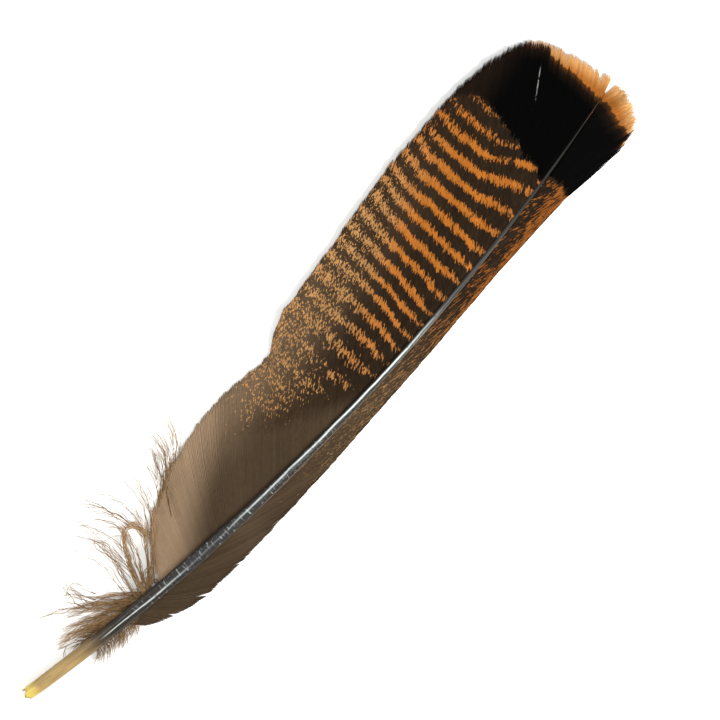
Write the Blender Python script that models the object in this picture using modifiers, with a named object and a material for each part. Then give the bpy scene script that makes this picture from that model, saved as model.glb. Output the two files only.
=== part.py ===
"""Turkey tail feather, lying with its upper side up.

Units are metres.  +Y runs from the quill end to the tip, +X points toward the
narrow vane, +Z is up.  The origin is the middle of the footprint, at its base.
Places on the feather are given as a distance along the shaft and a distance out
from the middle of the shaft, both in millimetres.
"""
import bmesh
import bpy
import math
import numpy as np

MM = 0.001

# Shaft
SHAFT_CHORD = 315.5          # straight distance from quill end to shaft tip
SHAFT_BOW = 13.7             # how far the shaft bows toward the narrow vane
SHAFT_ARCH = 1.6             # how far the middle of the shaft lifts
QUILL_STUB = 1.6             # quill beyond the start of the measured curve
SHAFT_LENGTH = 317.2         # along the curve
HALF_WIDTH = ((-2.0, 2.5), (4.0, 2.62), (30.0, 2.75), (76.0, 2.7), (114.0, 2.2), (152.0, 1.6),
              (190.0, 1.25), (228.0, 0.98), (260.0, 0.7), (285.0, 0.48), (305.0, 0.3), (318.0, 0.16))
HEIGHT = ((-2.0, 5.0), (4.0, 5.24), (30.0, 5.4), (76.0, 4.7), (114.0, 3.9), (152.0, 3.0),
          (190.0, 2.35), (228.0, 1.8), (260.0, 1.3), (285.0, 0.95), (305.0, 0.66), (318.0, 0.4))
SQUARE_FROM = 40.0           # the round quill starts turning square here
SQUARE_BY = 75.0             # and is a squarish grooved shaft from here
GROOVE = 0.14                # depth of the underside groove, part of the height
QUILL_MOUTH = 0.62           # open end of the quill, part of its width
QUILL_MOUTH_DEPTH = 5.0

# Vanes
VANE_THICKNESS = 0.6
VANE_GAP = 0.3               # between a vane's root and the side of the shaft
VANE_SEAT = 0.5              # height of the vane's root, part of the shaft's height
BARB_BEND = 0.25             # how much each barb curves toward the tip
WIDE_DROP = 26.0             # distance out at which the wide vane has come down flat
NARROW_DROP = 11.0

# Each row: root along the shaft, edge along the shaft, edge out from the shaft
WIDE_EDGE = ((64.0, 66.0, 6.0), (66.0, 68.0, 13.0), (69.0, 73.0, 19.0), (74.0, 80.0, 25.5), (80.0, 91.0, 31.0),
             (87.0, 104.0, 35.5), (93.0, 116.0, 38.0), (101.0, 133.0, 39.5), (109.0, 148.0, 38.0),
             (114.6, 157.0, 37.2), (115.6, 164.0, 41.8), (122.0, 173.0, 45.0), (131.0, 190.0, 47.0),
             (141.0, 209.0, 48.3), (150.0, 228.0, 49.8), (160.0, 247.0, 50.9), (171.0, 262.0, 49.8),
             (190.0, 280.0, 48.7), (210.0, 294.0, 46.5), (230.0, 304.5, 43.5), (248.0, 312.5, 40.0),
             (264.0, 318.5, 35.5), (278.0, 321.6, 30.0), (290.0, 322.9, 23.0), (302.0, 323.2, 14.0),
             (311.0, 322.9, 7.5), (316.5, 321.8, 2.6))
NARROW_EDGE = ((45.0, 47.0, 4.6), (46.5, 50.0, 7.8), (49.0, 55.0, 10.2), (53.0, 63.0, 12.2), (58.5, 75.0, 13.5),
               (66.0, 92.0, 12.7), (78.0, 112.0, 11.2), (97.0, 133.0, 9.9), (135.0, 171.0, 8.1),
               (180.0, 216.0, 7.6), (204.0, 240.0, 8.0), (228.0, 262.0, 9.6), (244.0, 277.0, 11.2),
               (253.0, 289.0, 14.2), (266.0, 303.0, 17.3), (279.0, 311.5, 17.4), (290.0, 316.5, 15.0),
               (302.0, 319.6, 10.2), (310.0, 321.6, 6.4), (316.5, 321.9, 2.4))
WIDE_COLUMNS = 72
WIDE_ROWS = 9
NARROW_COLUMNS = 66
NARROW_ROWS = 4
WIDE_SPLIT = (114.6, 115.6)  # between these roots the outer part of the vane has parted
WIDE_SPLIT_FROM = 0.7        # the split reaches in to this part of the barb
NARROW_SPLITS = ((58.0, 59.0), (66.0, 67.0))
NARROW_SPLIT_FROM = 0.45

# Down tufts.  Each row: root along the shaft, turn away from the tip direction in degrees, length
DOWN_THICKNESS = 1.1
DOWN_ROWS = 8
UPPER_TUFT = ((56.0, 128.0, 32.0), (56.8, 122.0, 24.0), (57.6, 118.0, 43.0), (58.4, 112.0, 28.0),
              (59.2, 106.0, 44.0), (59.8, 101.0, 31.0), (60.4, 95.0, 45.0), (61.0, 90.0, 32.0),
              (61.6, 84.0, 45.0), (62.0, 80.0, 33.0), (62.4, 75.5, 43.0), (62.8, 73.0, 27.0))
MIDDLE_TUFT = ((46.5, 153.0, 31.0), (47.5, 150.0, 24.0), (48.5, 147.0, 34.0), (49.5, 144.0, 25.0),
               (50.5, 141.0, 35.0), (51.5, 138.0, 25.0), (52.5, 135.0, 32.0), (53.5, 133.0, 22.0),
               (54.6, 131.0, 28.0))
LOWER_TUFT = ((34.0, 174.0, 18.0), (35.5, 171.5, 14.0), (37.0, 169.0, 28.0), (38.4, 166.5, 18.0),
              (39.8, 164.0, 26.0), (41.2, 161.5, 17.0), (42.6, 159.0, 27.0), (44.0, 156.5, 18.0),
              (45.2, 154.5, 26.0))
NARROW_TUFT = ((31.5, 150.0, 7.0), (32.8, 140.0, 4.5), (34.1, 130.0, 7.5), (35.4, 120.0, 4.6),
               (36.7, 110.0, 7.8), (38.0, 99.0, 4.8), (39.3, 88.0, 8.0), (40.6, 78.0, 5.0),
               (41.8, 68.0, 8.0), (42.8, 60.0, 5.5))

RING_POINTS = 16
SHAFT_STATIONS = 44


def read_off(table, along):
    """Value at a distance along, from a table of (distance, value) pairs."""
    return float(np.interp(along, [row[0] for row in table], [row[1] for row in table]))


def shaft_point(along):
    """Plan position of the shaft's middle and its direction, in millimetres."""
    part = along / SHAFT_LENGTH
    slope = 4.0 * SHAFT_BOW * (1.0 - 2.0 * part) / SHAFT_CHORD
    x = 4.0 * SHAFT_BOW * part * (1.0 - part)
    y = SHAFT_CHORD * part
    length = math.hypot(slope, 1.0)
    return x, y, slope / length, 1.0 / length


def plan(along, out):
    """Plan position of a place on the feather; out is positive on the wide side."""
    x, y, dx, dy = shaft_point(along)
    return x - out * dy, y + out * dx


def lift(along):
    """Height of the shaft's underside above the surface it lies on."""
    part = min(max(along / SHAFT_LENGTH, 0.0), 1.0)
    return SHAFT_ARCH * math.sin(math.pi * part) ** 2


def seat(along):
    """Height at which a vane or tuft leaves the side of the shaft."""
    return lift(along) + VANE_SEAT * read_off(HEIGHT, along)


def keep(mesh_object, colour, roughness):
    """Put an object in the feather's collection and give it its own material."""
    material = bpy.data.materials.new(mesh_object.name)
    material.use_nodes = True
    shader = material.node_tree.nodes["Principled BSDF"]
    shader.inputs["Base Color"].default_value = (*colour, 1.0)
    shader.inputs["Roughness"].default_value = roughness
    material.diffuse_color = (*colour, 1.0)
    mesh_object.data.materials.append(material)
    feather.objects.link(mesh_object)
    return mesh_object


def new_object(name, bm):
    mesh = bpy.data.meshes.new(name)
    bm.to_mesh(mesh)
    bm.free()
    return bpy.data.objects.new(name, mesh)


def shaft_ring(bm, along, scale, ahead):
    """One closed ring round the shaft: round at the quill, squarish and grooved after it."""
    x, y, dx, dy = shaft_point(along)
    half_width = read_off(HALF_WIDTH, along) * scale
    half_height = 0.5 * read_off(HEIGHT, along)
    middle = lift(along) + half_height
    square = min(max((along - SQUARE_FROM) / (SQUARE_BY - SQUARE_FROM), 0.0), 1.0)
    power = 2.0 / (2.0 + 1.2 * square)
    ring = []
    for step in range(RING_POINTS):
        turn = 2.0 * math.pi * step / RING_POINTS
        across = math.copysign(abs(math.cos(turn)) ** power, math.cos(turn)) * half_width
        up = math.copysign(abs(math.sin(turn)) ** power, math.sin(turn)) * half_height * scale
        if step == RING_POINTS * 3 // 4:
            up += 2.0 * half_height * GROOVE * square
        px = x + across * dy + ahead * dx
        py = y - across * dx + ahead * dy
        ring.append(bm.verts.new((px * MM, py * MM, (middle + up) * MM)))
    return ring


def join_rings(bm, first, second):
    for step in range(RING_POINTS):
        after = (step + 1) % RING_POINTS
        bm.faces.new((first[step], first[after], second[after], second[step]))


def make_quill():
    """Quill and shaft in one piece, lofted through unlike sections, with an open quill end."""
    bm = bmesh.new()
    rings = [shaft_ring(bm, -QUILL_STUB, QUILL_MOUTH * 0.8, QUILL_MOUTH_DEPTH),
             shaft_ring(bm, -QUILL_STUB, QUILL_MOUTH, 0.0)]
    for station in range(SHAFT_STATIONS):
        along = -QUILL_STUB + (SHAFT_LENGTH + QUILL_STUB) * station / (SHAFT_STATIONS - 1)
        rings.append(shaft_ring(bm, along, 1.0, 0.0))
    for first, second in zip(rings, rings[1:]):
        join_rings(bm, first, second)
    bm.faces.new(rings[0])
    bm.faces.new(rings[-1])
    bmesh.ops.recalc_face_normals(bm, faces=bm.faces)
    return keep(new_object("quill", bm), (0.30, 0.26, 0.17), 0.4)


def column_roots(edge, count, splits):
    """Roots of the columns: evenly spread, with a pair set at each split."""
    roots = list(np.linspace(edge[0][0], edge[-1][0], count + 1))
    for pair in splits:
        roots = [root for root in roots if abs(root - pair[0]) > 1.2 and abs(root - pair[1]) > 1.2]
        roots.extend(pair)
    return sorted(roots)


def make_sheet(name, edge, rows, side, count, splits, split_from, drop, thickness, colour, tuft_root=None):
    """A grid laid along the barbs from the shaft to the edge, thickened upward.

    It comes down flat at the drop distance, counted out from the shaft, or from a tuft's root.
    """
    roots = column_roots(edge, count, splits)
    bm = bmesh.new()
    bmesh.ops.create_grid(bm, x_segments=len(roots) - 1, y_segments=rows, size=1.0)
    table_root = [row[0] for row in edge]
    table_along = [row[1] for row in edge]
    table_out = [row[2] for row in edge]
    places = {}
    for vert in bm.verts:
        column = round((vert.co.x + 1.0) * 0.5 * (len(roots) - 1))
        part = (vert.co.y + 1.0) * 0.5
        root = roots[column]
        start = read_off(HALF_WIDTH, root) + VANE_GAP
        end_along = float(np.interp(root, table_root, table_along))
        end_out = float(np.interp(root, table_root, table_out))
        along = root + (end_along - root) * part
        out = start + (end_out - start) * (part + BARB_BEND * part * (1.0 - part))
        x, y = plan(along, side * out)
        reach = (out - start) if tuft_root is None else math.hypot(along - tuft_root, out - start)
        height = seat(along) * max(0.0, 1.0 - reach / drop) ** 1.4
        vert.co = (x * MM, y * MM, height * MM)
        places[vert] = (root, part)
    parted = []
    for face in bm.faces:
        low = min(places[vert][0] for vert in face.verts)
        high = max(places[vert][0] for vert in face.verts)
        inner = min(places[vert][1] for vert in face.verts)
        for pair in splits:
            if low >= pair[0] - 0.01 and high <= pair[1] + 0.01 and inner >= split_from - 0.01:
                parted.append(face)
    bmesh.ops.delete(bm, geom=parted, context="FACES")
    if side < 0:
        bmesh.ops.reverse_faces(bm, faces=bm.faces)
    sheet = keep(new_object(name, bm), colour, 0.8)
    solidify = sheet.modifiers.new("thickness", "SOLIDIFY")
    solidify.thickness = thickness * MM
    solidify.offset = 1.0
    return sheet


def make_tuft(name, lobes, side, drop, colour):
    """A lobed down tuft, each lobe reaching the tips of its strands."""
    edge = []
    for root, turn, length in lobes:
        start = read_off(HALF_WIDTH, root) + VANE_GAP
        edge.append((root, root + length * math.cos(math.radians(turn)),
                     start + length * math.sin(math.radians(turn))))
    columns = 3 * (len(lobes) - 1)
    middle = 0.5 * (lobes[0][0] + lobes[-1][0])
    return make_sheet(name, edge, DOWN_ROWS, side, columns, (), 1.0, drop, DOWN_THICKNESS, colour, middle)


for old in list(bpy.data.objects):
    bpy.data.objects.remove(old, do_unlink=True)
feather = bpy.data.collections.new("turkey_tail_feather")
bpy.context.scene.collection.children.link(feather)

pieces = [
    make_quill(),
    make_sheet("wide_vane", WIDE_EDGE, WIDE_ROWS, 1, WIDE_COLUMNS, (WIDE_SPLIT,), WIDE_SPLIT_FROM,
               WIDE_DROP, VANE_THICKNESS, (0.16, 0.09, 0.045)),
    make_sheet("narrow_vane", NARROW_EDGE, NARROW_ROWS, -1, NARROW_COLUMNS, NARROW_SPLITS, NARROW_SPLIT_FROM,
               NARROW_DROP, VANE_THICKNESS, (0.13, 0.085, 0.05)),
    make_tuft("upper_down_tuft", UPPER_TUFT, 1, 28.0, (0.27, 0.18, 0.11)),
    make_tuft("middle_down_tuft", MIDDLE_TUFT, 1, 26.0, (0.27, 0.18, 0.11)),
    make_tuft("lower_down_tuft", LOWER_TUFT, 1, 24.0, (0.27, 0.18, 0.11)),
    make_tuft("narrow_side_down", NARROW_TUFT, -1, 10.0, (0.27, 0.18, 0.11)),
]

# Set the origin to the middle of the footprint, at its base
corners = [vert.co for piece in pieces for vert in piece.data.vertices]
middle_x = 0.5 * (min(co.x for co in corners) + max(co.x for co in corners))
middle_y = 0.5 * (min(co.y for co in corners) + max(co.y for co in corners))
for piece in pieces:
    for vert in piece.data.vertices:
        vert.co.x -= middle_x
        vert.co.y -= middle_y
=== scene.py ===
import math

import bpy
import numpy as np
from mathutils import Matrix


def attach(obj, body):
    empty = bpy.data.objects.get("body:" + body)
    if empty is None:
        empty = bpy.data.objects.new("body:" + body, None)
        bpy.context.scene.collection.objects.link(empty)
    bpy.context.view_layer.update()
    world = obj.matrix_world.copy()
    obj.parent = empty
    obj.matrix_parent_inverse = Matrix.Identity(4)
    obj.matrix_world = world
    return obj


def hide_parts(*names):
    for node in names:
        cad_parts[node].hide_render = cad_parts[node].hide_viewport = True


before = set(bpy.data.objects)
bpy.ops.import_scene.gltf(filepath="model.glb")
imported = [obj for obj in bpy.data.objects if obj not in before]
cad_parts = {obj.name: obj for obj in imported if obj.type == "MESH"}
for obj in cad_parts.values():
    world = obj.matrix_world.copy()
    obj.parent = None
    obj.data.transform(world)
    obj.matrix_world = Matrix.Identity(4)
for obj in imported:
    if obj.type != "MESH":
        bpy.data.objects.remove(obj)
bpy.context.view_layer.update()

# ------------------------------------------------------------------------------------------
# Table top, lights and camera.  A sheet of white card lies under the feather, lit by a soft
# box over the narrow vane's side, with a white room round it.  The camera looks straight down.
# ------------------------------------------------------------------------------------------
scene = bpy.context.scene
scene.view_settings.view_transform = "Standard"
scene.view_settings.look = "None"

CARD_SIDE = 3.0
LIGHT_SHARE = 0.78
ROOM_BRIGHTNESS = 0.8
SOFT_BOX_POWER = 4.2
SOFT_BOX_PLACE = (0.30, 0.16, 0.26)
SOFT_BOX_SIZE = (0.16, 0.16)
STRIP_POWER = 1.1
FILL_POWER = 0.8
FILL_PLACE = (-0.20, -0.24, 0.24)
STRIP_PLACE = (-0.02, 0.05, 0.62)
CAMERA_LENS = 100.0
CAMERA_PLACE = (0.01239, 0.01817, 0.7625)
CAMERA_TURN = 43.82


def paint(red, green, blue):
    """A colour given on a 0 to 255 scale, as the linear one that shows so in this light."""
    parts = []
    for value in (red, green, blue):
        part = value / 255.0
        linear = part / 12.92 if part <= 0.04045 else ((part + 0.055) / 1.055) ** 2.4
        parts.append(linear * LIGHT_SHARE)
    return (*parts, 1.0)


def new_paint(name):
    """A fresh material with its node tree, its nodes' links and its main shader."""
    material = bpy.data.materials.new(name)
    material.use_nodes = True
    tree = material.node_tree
    return material, tree, tree.nodes["Principled BSDF"]


card_mesh = bpy.data.meshes.new("white_card")
half = CARD_SIDE / 2.0
card_mesh.from_pydata([(-half, -half, 0.0), (half, -half, 0.0), (half, half, 0.0), (-half, half, 0.0)],
                      [], [(0, 1, 2, 3)])
card = bpy.data.objects.new("white_card", card_mesh)
scene.collection.objects.link(card)
card_paint, card_tree, card_shader = new_paint("white_card")
card_shader.inputs["Base Color"].default_value = (0.73, 0.725, 0.71, 1.0)
card_shader.inputs["Roughness"].default_value = 0.95
card_shader.inputs["Specular IOR Level"].default_value = 0.1
card_mesh.materials.append(card_paint)

room = bpy.data.worlds.new("white_room")
room.use_nodes = True
room.node_tree.nodes["Background"].inputs["Color"].default_value = (1.0, 1.0, 1.0, 1.0)
room.node_tree.nodes["Background"].inputs["Strength"].default_value = ROOM_BRIGHTNESS
scene.world = room


def hang_light(name, place, size, power, colour):
    """A rectangular soft light, aimed at the middle of the feather."""
    light = bpy.data.lights.new(name, "AREA")
    light.shape = "RECTANGLE"
    light.size, light.size_y = size
    light.energy = power
    light.color = colour
    lamp = bpy.data.objects.new(name, light)
    scene.collection.objects.link(lamp)
    lamp.location = place
    aim = -lamp.location
    lamp.rotation_mode = "QUATERNION"
    lamp.rotation_quaternion = aim.to_track_quat("-Z", "Y")
    return lamp


hang_light("soft_box", SOFT_BOX_PLACE, SOFT_BOX_SIZE, SOFT_BOX_POWER, (1.0, 0.99, 0.97))
hang_light("strip_light", STRIP_PLACE, (0.02, 0.5), STRIP_POWER, (0.90, 0.97, 1.0))
hang_light("fill_light", FILL_PLACE, (0.16, 0.16), FILL_POWER, (1.0, 0.98, 0.94))

lens = bpy.data.cameras.new("camera")
lens.lens = CAMERA_LENS
lens.sensor_width = 36.0
lens.clip_start = 0.01
lens.clip_end = 20.0
camera = bpy.data.objects.new("camera", lens)
camera.location = CAMERA_PLACE
camera.rotation_euler = (0.0, 0.0, math.radians(CAMERA_TURN))
scene.collection.objects.link(camera)
scene.camera = camera

# ------------------------------------------------------------------------------------------
# Quill.  One hollow horn tube at the quill end that becomes the solid, squarish shaft with a
# groove along its underside.  It grew in one piece: straw coloured and clear at the bottom,
# then slate grey and glossy with whitish flakes of old sheath still clinging to its back; their
# pale patches are partly painted glints, and a painted highlight line runs down the back.
# ------------------------------------------------------------------------------------------
MM = 0.001
SHAFT_CHORD = 315.5
SHAFT_BOW = 13.7
SHAFT_ARCH = 1.6
SHAFT_LENGTH = 317.2
QUILL_STUB = 1.6
QUILL_START = (9.323, -159.414)
HALF_WIDTH = ((-2.0, 2.5), (4.0, 2.62), (30.0, 2.75), (76.0, 2.7), (114.0, 2.2), (152.0, 1.6),
              (190.0, 1.25), (228.0, 0.98), (260.0, 0.7), (285.0, 0.48), (305.0, 0.3), (318.0, 0.16))
HEIGHT = ((-2.0, 5.0), (4.0, 5.24), (30.0, 5.4), (76.0, 4.7), (114.0, 3.9), (152.0, 3.0),
          (190.0, 2.35), (228.0, 1.8), (260.0, 1.3), (285.0, 0.95), (305.0, 0.66), (318.0, 0.4))
QUILL_RING_POINTS = 40
QUILL_STATIONS = 420
QUILL_MOUTH_DEPTH = 5.0
SQUARE_FROM = 40.0           # the round quill starts turning square here
SQUARE_BY = 75.0             # and is a squarish grooved shaft from here
LOWEST = 0.02                # nothing lies lower above the card


def read_off(table, along):
    """Values at distances along, from a table of (distance, value) pairs."""
    return np.interp(along, [row[0] for row in table], [row[1] for row in table])


def ease(value, low, high):
    """0 below low, 1 above high, smooth between; low may be the larger of the two."""
    part = np.clip((np.asarray(value, dtype=float) - low) / (high - low), 0.0, 1.0)
    return part * part * (3.0 - 2.0 * part)


def shaft_line(along):
    """Plan position of the shaft's middle, and its direction, at distances along it."""
    part = np.asarray(along, dtype=float) / SHAFT_LENGTH
    slope = 4.0 * SHAFT_BOW * (1.0 - 2.0 * part) / SHAFT_CHORD
    length = np.hypot(slope, 1.0)
    x = QUILL_START[0] + 4.0 * SHAFT_BOW * part * (1.0 - part)
    y = QUILL_START[1] + SHAFT_CHORD * part
    return x, y, slope / length, 1.0 / length


def lay_out(along, out):
    """Plan position of places on the feather; out is positive on the wide vane's side."""
    x, y, dx, dy = shaft_line(along)
    return x - out * dy, y + out * dx


def lift(along):
    """Height of the shaft's underside above the card."""
    part = np.clip(np.asarray(along, dtype=float) / SHAFT_LENGTH, 0.0, 1.0)
    return SHAFT_ARCH * np.sin(math.pi * part) ** 2


def seat(along):
    """Height at which barbs leave the side of the shaft."""
    return lift(along) + 0.5 * read_off(HEIGHT, along)


def add_piece(name, points, faces, facts, material, nodes):
    """A mesh piece from points in millimetres, with its named facts for the shader."""
    mesh = bpy.data.meshes.new(name)
    mesh.from_pydata((points * MM).tolist(), [], faces)
    mesh.polygons.foreach_set("use_smooth", np.ones(len(mesh.polygons), dtype=bool))
    for fact, values in facts.items():
        layer = mesh.attributes.new(fact, "FLOAT", "POINT")
        layer.data.foreach_set("value", np.ravel(values).astype(np.float32))
    mesh.materials.append(material)
    mesh.update()
    piece = bpy.data.objects.new(name, mesh)
    scene.collection.objects.link(piece)
    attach(piece, "root")
    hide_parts(*nodes)
    return piece


def lay_flat_map(piece):
    """A map of the piece as seen from above, its thin sides leaning out a little."""
    mesh = piece.data
    corner = np.empty(len(mesh.loops), dtype=np.int32)
    mesh.loops.foreach_get("vertex_index", corner)
    place = np.empty(len(mesh.vertices) * 3, dtype=np.float32)
    mesh.vertices.foreach_get("co", place)
    place = place.reshape(-1, 3)
    flat = place[:, :2] + 0.5 * place[:, 2:]
    flat = 0.01 + 0.98 * (flat - flat.min(axis=0)) / np.ptp(flat, axis=0)
    layer = mesh.uv_layers.new(name="OFBake")
    layer.uv.foreach_set("vector", flat[corner].astype(np.float32).ravel())
    return piece


def quill_ring(along, scale, shift):
    """One ring round the shaft, in millimetres, and how far round each point is."""
    x, y, dx, dy = shaft_line(along)
    square = float(ease(along, SQUARE_FROM, SQUARE_BY))
    power = 2.0 / (2.0 + 1.2 * square)
    turn = 2.0 * math.pi * np.arange(QUILL_RING_POINTS) / QUILL_RING_POINTS
    half_width = read_off(HALF_WIDTH, along) * scale
    half_height = 0.5 * read_off(HEIGHT, along)
    across = np.sign(np.cos(turn)) * np.abs(np.cos(turn)) ** power * half_width
    up = np.sign(np.sin(turn)) * np.abs(np.sin(turn)) ** power * half_height * scale
    groove = np.exp(-((turn - 1.5 * math.pi) / 0.2) ** 2) * 0.28 * half_height * square
    side_groove = np.exp(-(np.sin(turn) / 0.16) ** 2) * 0.06 * half_width * square
    up = up + groove
    across = across - np.sign(np.cos(turn)) * side_groove
    height = lift(along) + half_height + up
    return np.stack([x + across * dy + shift * dx, y - across * dx + shift * dy, height], axis=1), turn


# The painted highlight line down the shaft's back: how far it lies from the middle, and how strong it is
PAINTED_HIGHLIGHT_LINE = ((36.0, -0.6), (45.0, -0.45), (60.0, -0.7), (80.0, -0.45), (95.0, 0.2), (105.0, 0.5),
             (130.0, 0.85), (150.0, 0.6), (165.0, 0.35), (190.0, 0.1), (220.0, 0.0), (250.0, -0.3),
             (270.0, -0.1), (290.0, 0.3), (310.0, 0.1))
PAINTED_HIGHLIGHT_STRENGTH = ((33.0, 0.0), (38.0, 0.75), (46.0, 0.9), (62.0, 0.7), (78.0, 0.1), (94.0, 0.1),
                      (110.0, 0.6), (130.0, 0.75), (160.0, 1.0), (190.0, 1.0), (202.0, 0.5),
                      (215.0, 0.08), (250.0, 0.03), (290.0, 0.0))


def build_quill(material):
    """The quill and shaft: rings from the hollow's floor, out round the mouth, to the tip."""
    quill_dice = np.random.default_rng(11)
    rings = []
    along_facts = []
    turn_facts = []
    torn = 0.9 * np.sin(2.0 * math.pi * np.arange(QUILL_RING_POINTS) / QUILL_RING_POINTS * 3.0 + 0.6)
    torn = torn + quill_dice.normal(0.0, 0.25, QUILL_RING_POINTS)
    torn = 0.5 * torn + 0.25 * (np.roll(torn, 1) + np.roll(torn, -1))
    mouth = [(-QUILL_STUB + QUILL_MOUTH_DEPTH, 0.45), (-QUILL_STUB + QUILL_MOUTH_DEPTH, 0.62),
             (-QUILL_STUB + 2.0, 0.72), (-QUILL_STUB + 0.25, 0.80)]
    for station, scale in mouth:
        inner = torn * (1.0 if station < 1.0 else 0.0) * 0.8
        ring, turn = quill_ring(station, scale, inner)
        rings.append(ring)
        along_facts.append(np.full(QUILL_RING_POINTS, -3.0))
        turn_facts.append(turn)
    for station in range(QUILL_STATIONS):
        along = -QUILL_STUB + (SHAFT_LENGTH + QUILL_STUB) * (station / (QUILL_STATIONS - 1)) ** 1.02
        near_mouth = math.exp(-(along + QUILL_STUB) / 1.2)
        ring, turn = quill_ring(along, 1.0 - 0.08 * near_mouth, torn * near_mouth)
        knobs = quill_dice.normal(0.0, 0.05, QUILL_RING_POINTS) * near_mouth
        ring[:, 2] += knobs
        rings.append(ring)
        along_facts.append(np.full(QUILL_RING_POINTS, along))
        turn_facts.append(turn)
    points = np.concatenate(rings)
    points[:, 2] = np.maximum(points[:, 2], LOWEST)
    faces = []
    for ring in range(len(rings) - 1):
        for step in range(QUILL_RING_POINTS):
            after = (step + 1) % QUILL_RING_POINTS
            first = ring * QUILL_RING_POINTS
            second = first + QUILL_RING_POINTS
            faces.append((first + step, second + step, second + after, first + after))
    last = (len(rings) - 1) * QUILL_RING_POINTS
    faces.append(tuple(range(QUILL_RING_POINTS)))
    faces.append(tuple(last + step for step in reversed(range(QUILL_RING_POINTS))))
    along_fact = np.concatenate(along_facts)
    turn_fact = np.concatenate(turn_facts)
    across = np.sign(np.cos(turn_fact)) * np.abs(np.cos(turn_fact)) ** (2.0 / 3.2)
    # Where the painted highlight line runs across the shaft, and how strong it is
    line = across * read_off(HALF_WIDTH, along_fact) + read_off(PAINTED_HIGHLIGHT_LINE, along_fact)
    line = np.where(np.sin(turn_fact) < 0.0, 9.0, line)
    facts = {"along": along_fact, "turn": turn_fact, "line": line, "across": across,
             "shine": read_off(PAINTED_HIGHLIGHT_STRENGTH, along_fact)}
    return add_piece("quill", points, faces, facts, material, ["quill"])


def feed(part, socket):
    """Set a node's input to a number or a colour, or link a value to it."""
    if isinstance(part, Value):
        part.tree.links.new(part.socket, socket)
    else:
        socket.default_value = part


def new_value(tree, kind, inputs, output=0, **settings):
    """A fresh node with its settings and inputs, as the value it puts out."""
    node = tree.nodes.new("ShaderNode" + kind)
    for setting, choice in settings.items():
        setattr(node, setting, choice)
    for place, part in inputs.items():
        feed(part, node.inputs[place])
    return Value(tree, node.outputs[output])


class Value:
    """What a node puts out.  It can be added, taken away and multiplied like a number."""

    def __init__(self, tree, socket):
        self.tree = tree
        self.socket = socket

    def math(self, operation, first, second=0.0):
        return new_value(self.tree, "Math", {0: first, 1: second}, operation=operation)

    def __add__(self, other):
        return self.math("ADD", self, other)

    def __sub__(self, other):
        return self.math("SUBTRACT", self, other)

    def __rsub__(self, other):
        return self.math("SUBTRACT", other, self)

    def __mul__(self, other):
        return self.math("MULTIPLY", self, other)

    def step(self, low, high):
        """0 below low, 1 above high, smooth between."""
        return new_value(self.tree, "MapRange", {"Value": self, "From Min": low, "From Max": high},
                         "Result", interpolation_type="SMOOTHSTEP")


def read_fact(tree, name):
    """The value of one of a piece's named facts."""
    return new_value(tree, "Attribute", {}, "Fac", attribute_name=name)


def join(first, second, third):
    """A place, or a colour, made from three values."""
    return new_value(first.tree, "CombineXYZ", {0: first, 1: second, 2: third})


def cloud(first, second, third, detail, roughness=0.5, distortion=0.0):
    """Cloudy noise, 0 to 1, around 0.5, over a place made from three values."""
    return new_value(first.tree, "TexNoise", {
        "Vector": join(first, second, third), "Scale": 1.0, "Detail": detail,
        "Roughness": roughness, "Distortion": distortion}, "Fac")


def blend(amount, first, second, how="MIX"):
    """One colour blended into another; each part is a value, a number or a colour."""
    tree = next(part.tree for part in (amount, first, second) if isinstance(part, Value))
    return new_value(tree, "Mix", {0: amount, 6: first, 7: second}, 2, data_type="RGBA", blend_type=how)


def ramp(value, stops):
    """Colours laid along a value from 0 to 1."""
    node = value.tree.nodes.new("ShaderNodeValToRGB")
    while len(node.color_ramp.elements) < len(stops):
        node.color_ramp.elements.new(0.5)
    for element, (position, colour) in zip(node.color_ramp.elements, stops):
        element.position = position
        element.color = colour
    feed(value, node.inputs["Fac"])
    return Value(value.tree, node.outputs["Color"])


def finish_paint(shader, colour, roughness, specular, height, strength, distance):
    """Put a colour, a roughness, a specular level and a bump on a shader."""
    feed(colour, shader.inputs["Base Color"])
    feed(roughness, shader.inputs["Roughness"])
    shader.inputs["Specular IOR Level"].default_value = specular
    bump = new_value(height.tree, "Bump", {"Strength": strength, "Distance": distance, "Height": height},
                     "Normal")
    feed(bump, shader.inputs["Normal"])


QUILL_YELLOW = paint(206, 182, 86)
QUILL_STRAW = paint(156, 129, 80)
QUILL_OLIVE = paint(128, 104, 66)
QUILL_UMBER = paint(62, 50, 36)
QUILL_SLATE = paint(36, 31, 25)
QUILL_GREY = paint(36, 34, 29)
QUILL_DARK = paint(24, 21, 17)
QUILL_RUST = paint(110, 66, 30)
QUILL_SHOULDER_SHEEN = paint(96, 88, 76)
SHEATH_AND_GLINT_WHITE = paint(150, 160, 160)
HIGHLIGHT_WHITE = paint(206, 216, 214)

FLAKE_SHADOW = paint(14, 12, 10)
STREAK_SHADOW = paint(22, 18, 14)
RAMP_LENGTH = 330.0

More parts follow.
